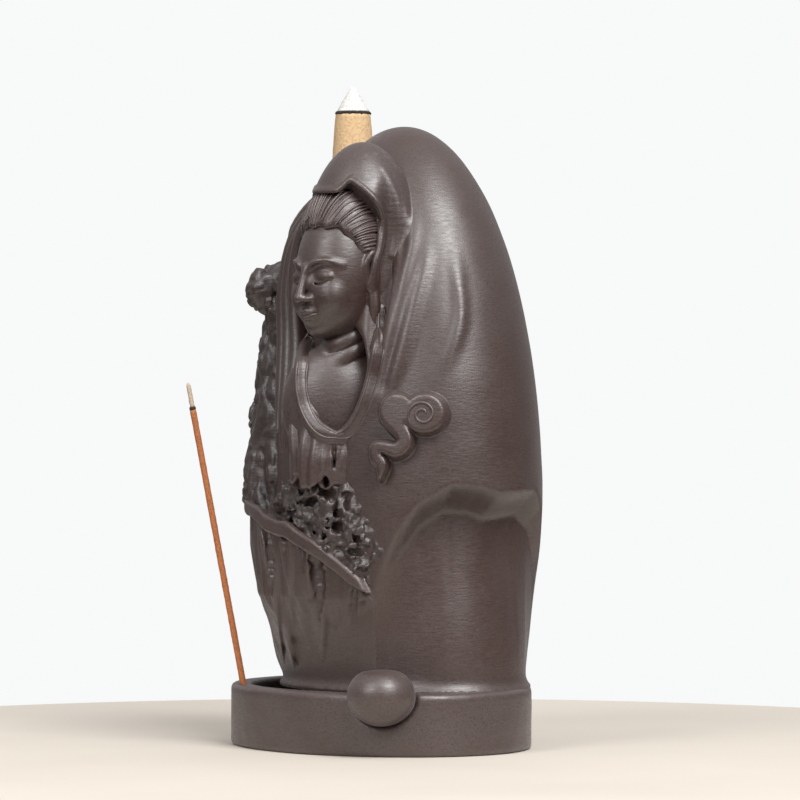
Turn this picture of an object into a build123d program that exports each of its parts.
"""Backflow incense burner: a veiled bust with a falling rock stream, in unglazed purple clay.

The cloak is a hollow slip casting. The head, veil, bust, robe, rocks, water ledge, cloud and pebble are
moulded apart and luted on with slip before firing. An incense cone stands over a smoke hole on the left
shoulder; its smoke sinks through a tube inside the cloak, leaves by a mouth in the cliff and runs down
the ledge into the pool of the dish. An incense stick leans out of a hole in the rim of the dish.

Frame: millimetres, +Z up, the origin on the table under the middle of the dish, -Y towards somebody who
faces the figure and +X to their right.
"""

import math
import os

from build123d import *

# ---------------------------------------------------------------- driving dimensions
DISH_HALF_WIDTH = 51.0
DISH_HALF_DEPTH = 40.0
DISH_HEIGHT = 17.5
RIM_WIDTH = 6.0
POOL_DEPTH = 6.0
POOL_BACK_Y = 4.0
EDGE_ROUND = 1.6
VENT_RADIUS = 9.0
VENT_Y = 15.0

CLOAK_HALF_WIDTH = 50.0
CLOAK_HALF_DEPTH = 35.5
CLOAK_CENTRE_Y = 7.5
CLOAK_WAIST_Z = 70.0
CLOAK_RISE = 107.0
CLOAK_TOP_Z = CLOAK_WAIST_Z + CLOAK_RISE - 0.5
CLOAK_WALL = 4.5
CORE_TOP_Z = 140.0
FOOT_TUCK_X = 6.5
FOOT_TUCK_Y = 5.0
SCOOP_AT = (56.0, 9.0, 10.0)
SCOOP_RADIUS = 38.0
SCOOP_HALF_HEIGHT = 64.0
SCOOP_DEPTH = 3.0

HEAD_AT = (12.7, -20.0, 133.0)
HEAD_TURN = 12.0
HEAD_NOD = -6.0
HEAD_RADIUS = 12.7
HEAD_HALF_HEIGHT = 17.0
NECK_RADIUS = 8.6
NECK_LENGTH = 22.0
HAIR_RADIUS = 13.6
HAIR_HALF_HEIGHT = 15.6
BUST_AT = (12.5, -19.0, 98.0)
BUST_RADIUS = 13.5
BUST_HALF_HEIGHT = 14.5
VEIL_AT = (13.2, -13.2, 129.0)
VEIL_RADIUS = 19.0
VEIL_HALF_HEIGHT = 43.3
LAPEL_RADIUS = 2.6

LEDGE_MID_Z = 59.0
LEDGE_SLOPE = 0.44
LEDGE_THICKNESS = 5.0
TROUGH_DEPTH = 2.6
TROUGH_WIDTH = 3.6

CONE_X = -26.0
CONE_Y = 5.8
SEAT_Z = 158.3
SEAT_RADIUS = 9.5
SEAT_THICKNESS = 3.5
SEAT_RIM = 1.2
SEAT_RIM_WIDTH = 1.8
CONE_HEIGHT = 31.5
CONE_RADIUS = 6.4
CONE_BORE_RADIUS = 1.5
CONE_BORE_DEPTH = 13.0
CONE_BURNT = 8.0
CHAR_HEIGHT = 0.8
TUBE_BORE_RADIUS = 2.2
TUBE_RADIUS = 4.2
TUBE_BEND_RADIUS = 9.0
TUBE_END_Y = -23.5
SMOKE_MOUTH_Z = 98.0

STICK_X = -20.0
STICK_Y = -33.6
STICK_LEAN = 11.7
STICK_RADIUS = 0.9
STICK_HOLE_RADIUS = 1.1
STICK_HOLE_DEPTH = 10.0
STICK_END_GAP = 0.5
STICK_LENGTH = 98.0
STICK_ASH_LENGTH = 7.0
STICK_ASH_RADIUS = 0.65

PEBBLE_AT = (42.6, -24.0, 17.8)
PEBBLE_RADIUS = 9.2
PEBBLE_HALF_HEIGHT = 7.8
PEBBLE_TOP_ANGLE = 62
CLOUD_Z = 94.0
CLOUD_ANGLE = -33.0
CLOUD_DEPTH = 4.5
CLOUD_ROOT = 6.0


# ---------------------------------------------------------------- shared shapes
def cloak_section(z):
    """Half width, half depth and centre Y of the cloak's oval at a height."""
    if z >= CLOAK_WAIST_Z:
        share = math.sqrt(1 - ((z - CLOAK_WAIST_Z) / CLOAK_RISE) ** 2)
        return CLOAK_HALF_WIDTH * share, CLOAK_HALF_DEPTH * share, CLOAK_CENTRE_Y
    tuck = (CLOAK_WAIST_Z - z) / (CLOAK_WAIST_Z - DISH_HEIGHT)
    half_width = CLOAK_HALF_WIDTH - FOOT_TUCK_X * tuck**1.3
    half_depth = CLOAK_HALF_DEPTH - FOOT_TUCK_Y * tuck**1.5
    return half_width, half_depth, CLOAK_CENTRE_Y + 0.6 * tuck


def oval_loft(sections):
    """A solid through level ovals, each given as height, centre x, centre y, half width, half depth."""
    with BuildPart() as body:
        for z, x, y, half_width, half_depth in sections:
            with BuildSketch(Plane.XY.offset(z)):
                with Locations((x, y)):
                    Ellipse(half_width, half_depth)
        loft()
    return body.part


def cloak_form(shrink, low, high):
    """The cloak's outer form, or its inside when shrunk, between two heights."""
    levels = [z for z in (low, 30, 45, 58, 70, 90, 110, 128, 143, 155, 164, 170, 174) if z < high - 1]
    sections = []
    for z in levels + [high]:
        half_width, half_depth, centre_y = cloak_section(z + shrink if z > CLOAK_WAIST_Z else z)
        sections.append((z, 0.0, centre_y, half_width - shrink, half_depth - shrink))
    return oval_loft(sections)


def egg(centre, radius, half_height, turn=0.0, nod=0.0, lowest=-84, highest=84):
    """A rounded egg with small flat poles, placed by its centre, nodded forwards and turned about Z."""
    sections = []
    for step in range(9):
        angle = math.radians(lowest + (highest - lowest) * step / 8)
        wide = radius * math.cos(angle)
        sections.append((half_height * math.sin(angle), 0.0, 0.0, wide, wide))
    return Pos(*centre) * Rot(Z=turn) * Rot(X=nod) * oval_loft(sections)


def column(x, y, radius, low, high):
    """An upright round column between two heights."""
    with BuildPart() as post:
        with BuildSketch(Plane.XY.offset(low)):
            with Locations((x, y)):
                Circle(radius)
        extrude(amount=high - low)
    return post.part


def ledge_slab(bottom, top):
    """A wide slab parallel to the ledge's bed, between two distances above that bed."""
    slope = math.degrees(math.atan(LEDGE_SLOPE))
    with BuildPart() as slab:
        with BuildSketch(Plane.XY.offset(LEDGE_MID_Z + bottom).rotated((0, slope, 0))):
            Rectangle(170, 130)
        extrude(amount=top - bottom)
    return slab.part


def tube_run(radius, mouth_y):
    """The smoke tube's run as a solid rod: down from the seat, round a bend and out to the front."""
    top = (CONE_X, CONE_Y, SEAT_Z - SEAT_THICKNESS)
    bend = (CONE_X, CONE_Y, SMOKE_MOUTH_Z)
    mouth = (CONE_X, mouth_y, SMOKE_MOUTH_Z)
    with BuildPart() as run:
        with BuildLine() as route:
            FilletPolyline(top, bend, mouth, radius=TUBE_BEND_RADIUS)
        with BuildSketch(Plane(origin=top, z_dir=(0, 0, -1))):
            Circle(radius)
        sweep(path=route.line)
    return run.part


cloak_solid = cloak_form(0.0, DISH_HEIGHT, CLOAK_TOP_Z)
cloak_inside = cloak_form(CLOAK_WALL, DISH_HEIGHT, CLOAK_TOP_Z - 2 * CLOAK_WALL)
cloak_core = cloak_form(SCOOP_DEPTH + CLOAK_WALL, DISH_HEIGHT, CORE_TOP_Z)
scoop = egg(SCOOP_AT, SCOOP_RADIUS, SCOOP_HALF_HEIGHT) - cloak_form(SCOOP_DEPTH, DISH_HEIGHT - 5.0, 100.0)
scoop_backing = egg(SCOOP_AT, SCOOP_RADIUS + CLOAK_WALL, SCOOP_HALF_HEIGHT + CLOAK_WALL)
seat_foot_z = SEAT_Z - SEAT_THICKNESS
seat_room = column(CONE_X, CONE_Y, SEAT_RADIUS + 2.0, seat_foot_z, SEAT_Z + 30.0)
seat_backing = column(CONE_X, CONE_Y, SEAT_RADIUS + 6.0, seat_foot_z - CLOAK_WALL, SEAT_Z + 30.0)
smoke_rod = tube_run(TUBE_RADIUS, TUBE_END_Y)
smoke_way = tube_run(TUBE_BORE_RADIUS, TUBE_END_Y - 20.0)
rock_levels = [(DISH_HEIGHT, 36.0, 22.0), (29, 38.5, 26.5), (43, 40, 32.6), (57, 40, 35), (70, 39, 35.6),
               (84, 36, 34.8)]
rock_mass = oval_loft([(z, -4.0, 1.0, wide, deep) for z, wide, deep in rock_levels])

stick_lean = math.radians(STICK_LEAN)
stick_way = Vector(0, -math.sin(stick_lean), math.cos(stick_lean))
stick_mouth = Plane(origin=(STICK_X, STICK_Y, DISH_HEIGHT), z_dir=stick_way)


# ---------------------------------------------------------------- the dish
# Oval dish: a crescent pool in front of the figure, a hole for the stick, a vent into the hollow cloak.
foot_half_width, foot_half_depth, foot_y = cloak_section(DISH_HEIGHT)
with BuildPart() as dish:
    with BuildSketch():
        Ellipse(DISH_HALF_WIDTH, DISH_HALF_DEPTH)
    extrude(amount=DISH_HEIGHT)
    fillet(dish.edges().filter_by(GeomType.ELLIPSE), EDGE_ROUND)
    with BuildSketch(Plane.XY.offset(DISH_HEIGHT)):
        Ellipse(DISH_HALF_WIDTH - RIM_WIDTH, DISH_HALF_DEPTH - RIM_WIDTH)
        with Locations((0, foot_y)):
            Ellipse(foot_half_width + 0.5, foot_half_depth + 0.5, mode=Mode.SUBTRACT)
        with Locations((0, POOL_BACK_Y + DISH_HALF_DEPTH)):
            Rectangle(3 * DISH_HALF_WIDTH, 2 * DISH_HALF_DEPTH, mode=Mode.SUBTRACT)
    extrude(amount=-POOL_DEPTH, mode=Mode.SUBTRACT)
    with Locations((0, VENT_Y, 0)):
        Cylinder(VENT_RADIUS, 3 * DISH_HEIGHT, mode=Mode.SUBTRACT)
    with Locations(stick_mouth):
        Cylinder(STICK_HOLE_RADIUS, 2 * STICK_HOLE_DEPTH, mode=Mode.SUBTRACT)

# ---------------------------------------------------------------- the cloak and its smoke way
# Hollow cloak: open below, scooped a little on the right flank, cut level on the shoulder for the seat.
with BuildPart() as cloak:
    add(cloak_solid)
    add(scoop, mode=Mode.SUBTRACT)
    add(cloak_inside - scoop_backing - seat_backing, mode=Mode.SUBTRACT)
    add(cloak_core - seat_backing, mode=Mode.SUBTRACT)
    add(seat_room, mode=Mode.SUBTRACT)
    add(smoke_rod, mode=Mode.SUBTRACT)

# Round seat for the cone, with a low rim and the smoke hole through its middle.
with BuildPart() as cone_seat:
    add(column(CONE_X, CONE_Y, SEAT_RADIUS, SEAT_Z - SEAT_THICKNESS, SEAT_Z + SEAT_RIM))
    fillet(cone_seat.edges().group_by(Axis.Z)[-1], 0.5)
    add(column(CONE_X, CONE_Y, SEAT_RADIUS - SEAT_RIM_WIDTH, SEAT_Z, SEAT_Z + 5.0), mode=Mode.SUBTRACT)
    add(column(CONE_X, CONE_Y, TUBE_BORE_RADIUS, SEAT_Z - 10.0, SEAT_Z + 5.0), mode=Mode.SUBTRACT)

# ---------------------------------------------------------------- head, hair, bust and veil
head_x, head_y, head_z = HEAD_AT
with BuildPart() as head:
    add(egg(HEAD_AT, HEAD_RADIUS, HEAD_HALF_HEIGHT, turn=HEAD_TURN, nod=HEAD_NOD))
    add(column(head_x, head_y + 2.5, NECK_RADIUS, head_z - 8.0 - NECK_LENGTH, head_z - 8.0))
    add(cloak_solid, mode=Mode.SUBTRACT)

# Swept-back hair: a cap over the top and sides of the head, cut back from the forehead.
with BuildPart() as hair:
    add(egg((head_x, head_y + 1.6, head_z + 4.6), HAIR_RADIUS, HAIR_HALF_HEIGHT, turn=HEAD_TURN, nod=-10.0))
    with BuildSketch(Plane((head_x, head_y - 6.0, head_z + 3.0), z_dir=(0.0, 0.75, -0.66))):
        Rectangle(60, 60)
    extrude(amount=40.0, mode=Mode.SUBTRACT)
    add(head.part, mode=Mode.SUBTRACT)
    add(cloak_solid, mode=Mode.SUBTRACT)

# Bare upper chest inside the robe's opening.
with BuildPart() as bust:
    add(egg(BUST_AT, BUST_RADIUS, BUST_HALF_HEIGHT, turn=HEAD_TURN))
    add(head.part, mode=Mode.SUBTRACT)
    add(cloak_solid, mode=Mode.SUBTRACT)

# Hood and veil: a tall shell that frames the head and falls over both shoulders.
with BuildPart() as veil:
    add(egg(VEIL_AT, VEIL_RADIUS, VEIL_HALF_HEIGHT, turn=HEAD_TURN, nod=-4.0))
    add(egg((head_x + 1.5, head_y - 9.0, head_z - 8.0), 11.6, 27.0, turn=HEAD_TURN), mode=Mode.SUBTRACT)
    for inner in (head.part, hair.part, bust.part, cloak_solid, seat_room):
        add(inner, mode=Mode.SUBTRACT)


# ---------------------------------------------------------------- robe
def make_lapel(side):
    """One thick rolled lapel, from the side of the neck down to the join on the chest."""
    x, y, z = BUST_AT
    points = [(x + 13.2 * side, y - 3.0, z + 20.0), (x + 14.6 * side, y - 7.0, z + 4.0),
              (x + 9.0 * side, y - 12.0, z - 9.5), (x + 2.6 * side, y - 13.5, z - 16.5)]
    with BuildPart() as lapel:
        with BuildLine() as path:
            Spline(points)
        with BuildSketch(Plane(path.line @ 0, z_dir=path.line % 0)):
            Circle(LAPEL_RADIUS)
        sweep()
        for inner in (bust.part, cloak_solid, veil.part):
            add(inner, mode=Mode.SUBTRACT)
    with BuildPart() as whole_lapel:
        add(lapel.solids().sort_by(SortBy.VOLUME)[-1])
    return whole_lapel


left_lapel = make_lapel(-1)
right_lapel = make_lapel(1)

# Hanging robe under the chest, whose folds run into the rocks.
with BuildPart() as robe:
    add(oval_loft([(70, 8, -15, 19, 16.5), (84, 11, -15, 20, 17), (104, 12, -12, 20, 15.5)]))
    for other in (head, bust, veil, left_lapel, right_lapel):
        add(other.part, mode=Mode.SUBTRACT)
    add(cloak_solid, mode=Mode.SUBTRACT)

# ---------------------------------------------------------------- rocks and water ledge
# Knob of rock that juts out of the cliff beside the head.
with BuildPart() as boulder:
    add(egg((-24.0, -21.6, 128.5), 8.2, 9.4, turn=35.0, nod=-14.0))
    add(cloak_solid, mode=Mode.SUBTRACT)

# Rock cliff on the left, from the ledge up to the cone's seat, with the smoke's mouth in its front.
with BuildPart() as cliff:
    add(oval_loft([(LEDGE_MID_Z, -22, -10, 17, 22.5), (92, -21, -10, 15, 19), (122, -22, -8, 12.5, 16),
                   (SEAT_Z - SEAT_THICKNESS, CONE_X, CONE_Y - 1, 11.5, 11.5)]))
    add(ledge_slab(-40.0, 0.0), mode=Mode.SUBTRACT)
    for other in (veil, robe, left_lapel, boulder):
        add(other.part, mode=Mode.SUBTRACT)
    add(cloak_solid, mode=Mode.SUBTRACT)
    add(smoke_rod, mode=Mode.SUBTRACT)
    add(smoke_way, mode=Mode.SUBTRACT)

# Clay tube that carries the smoke down inside the cloak and out to the front of the cliff.
with BuildPart() as smoke_tube:
    add(smoke_rod)
    add(smoke_way, mode=Mode.SUBTRACT)

# Sloping water ledge with a trough along it and a low lip in front.
with BuildPart() as water_ledge:
    add(rock_mass & ledge_slab(-LEDGE_THICKNESS, 0.0))
    add(cloak_form(-TROUGH_WIDTH, DISH_HEIGHT, 100.0) & ledge_slab(-TROUGH_DEPTH, 20.0), mode=Mode.SUBTRACT)
    add(cloak_solid, mode=Mode.SUBTRACT)

# Lower rock face, from the dish up to the underside of the ledge, with two clefts.
with BuildPart() as fall_face:
    add(rock_mass)
    add(ledge_slab(-LEDGE_THICKNESS, 120.0), mode=Mode.SUBTRACT)
    for x, width in ((-23.0, 4.0), (2.0, 4.5)):
        with Locations((x, -34.0, LEDGE_MID_Z - LEDGE_SLOPE * x - 16.0)):
            Box(width, 5.0, 14.0, mode=Mode.SUBTRACT)
    add(cloak_solid, mode=Mode.SUBTRACT)

# Rough rock wall behind the ledge, under the robe.
with BuildPart() as grotto_wall:
    add(oval_loft([(36, 14, -11, 15, 14), (55, 13, -12, 19, 17), (76, 11, -12, 20, 18)]))
    add(ledge_slab(-40.0, 0.0), mode=Mode.SUBTRACT)
    for other in (robe, cliff, left_lapel, right_lapel):
        add(other.part, mode=Mode.SUBTRACT)
    add(cloak_solid, mode=Mode.SUBTRACT)

# ---------------------------------------------------------------- sprigs
# Scrolled cloud on the right flank: two lobes and a curling tail, on a plane square to the flank.
cloud_half_width, cloud_half_depth, cloud_y = cloak_section(CLOUD_Z)
cloud_turn = math.radians(CLOUD_ANGLE)
cloud_cos = math.cos(cloud_turn)
cloud_sin = math.sin(cloud_turn)
cloud_foot = (cloud_half_width * cloud_cos, cloud_y + cloud_half_depth * cloud_sin, CLOUD_Z)
cloud_out = Vector(cloud_cos / cloud_half_width, cloud_sin / cloud_half_depth).normalized()
cloud_plane = Plane(origin=cloud_foot, x_dir=Vector(0, 0, 1).cross(cloud_out), z_dir=cloud_out)
with BuildPart() as cloud:
    with BuildSketch(cloud_plane.offset(-CLOUD_ROOT)):
        with Locations((1.5, 3.5)):
            Ellipse(7.6, 6.4)
        with Locations((-3.6, 4.2)):
            Circle(5.4)
        with Locations((-3.2, -4.6)):
            Ellipse(5.0, 3.4, rotation=25)
        with Locations((-7.4, -8.6)):
            Ellipse(1.9, 4.6, rotation=12)
    extrude(amount=CLOUD_ROOT + CLOUD_DEPTH)
    add(cloak_solid, mode=Mode.SUBTRACT)

# Round river pebble luted on the rim of the dish, flattened on top.
with BuildPart() as rim_pebble:
    add(egg(PEBBLE_AT, PEBBLE_RADIUS, PEBBLE_HALF_HEIGHT, highest=PEBBLE_TOP_ANGLE))
    with BuildSketch():
        Ellipse(DISH_HALF_WIDTH, DISH_HALF_DEPTH)
    extrude(amount=DISH_HEIGHT, mode=Mode.SUBTRACT)


# ---------------------------------------------------------------- incense
def cone_radius(z):
    """Radius of the bullet-shaped cone at a height above its foot."""
    return CONE_RADIUS * (1 - (z / CONE_HEIGHT) ** 3.2) ** 0.55


def make_cone_slice(low, high, bore_depth=0.0):
    """A slice of the incense cone between two heights above its foot, bored up from below."""
    foot = Plane(origin=(CONE_X, CONE_Y, SEAT_Z), x_dir=(1, 0, 0), z_dir=(0, -1, 0))
    side = []
    for i in range(9):
        z = low + (high - low) * i / 8
        side.append((cone_radius(z), z))
    inner_corners = [(0, high), (0, low)] if high < CONE_HEIGHT else [(0, low)]
    with BuildPart() as piece:
        with BuildSketch(foot):
            with BuildLine():
                Spline(side)
                Polyline([side[-1], *inner_corners, side[0]])
            make_face()
        revolve(axis=Axis((CONE_X, CONE_Y, 0), (0, 0, 1)))
        if bore_depth:
            bore = column(CONE_X, CONE_Y, CONE_BORE_RADIUS, SEAT_Z - 1.0, SEAT_Z + bore_depth)
            add(bore, mode=Mode.SUBTRACT)
    return piece


def make_stick_slice(low, high, radius):
    """A length of the incense stick, measured from its lower end inside the hole."""
    with BuildPart() as piece:
        with BuildSketch(stick_mouth.offset(low - STICK_HOLE_DEPTH + STICK_END_GAP)):
            Circle(radius)
        extrude(amount=high - low)
    return piece


cone_fresh = CONE_HEIGHT - CONE_BURNT
incense_cone = make_cone_slice(0.0, cone_fresh, bore_depth=CONE_BORE_DEPTH)
cone_char = make_cone_slice(cone_fresh, cone_fresh + CHAR_HEIGHT)
cone_ash = make_cone_slice(cone_fresh + CHAR_HEIGHT, CONE_HEIGHT)

stick_fresh = STICK_LENGTH - STICK_ASH_LENGTH - CHAR_HEIGHT
incense_stick = make_stick_slice(0.0, stick_fresh, STICK_RADIUS)
stick_char = make_stick_slice(stick_fresh, stick_fresh + CHAR_HEIGHT, STICK_RADIUS)
stick_ash = make_stick_slice(stick_fresh + CHAR_HEIGHT, STICK_LENGTH, STICK_ASH_RADIUS)

# ---------------------------------------------------------------- write one STEP file per piece
pieces = {
    "dish": dish, "cloak": cloak, "cone_seat": cone_seat, "smoke_tube": smoke_tube, "head": head,
    "hair": hair, "bust": bust, "veil": veil, "left_lapel": left_lapel, "right_lapel": right_lapel,
    "robe": robe, "boulder": boulder, "cliff": cliff, "water_ledge": water_ledge, "fall_face": fall_face,
    "grotto_wall": grotto_wall, "cloud": cloud, "rim_pebble": rim_pebble, "incense_cone": incense_cone,
    "cone_char": cone_char, "cone_ash": cone_ash, "incense_stick": incense_stick,
    "stick_char": stick_char, "stick_ash": stick_ash,
}
os.makedirs("parts", exist_ok=True)
for name, piece in pieces.items():
    piece.part.label = name
    export_step(piece.part, f"parts/{name}.step")
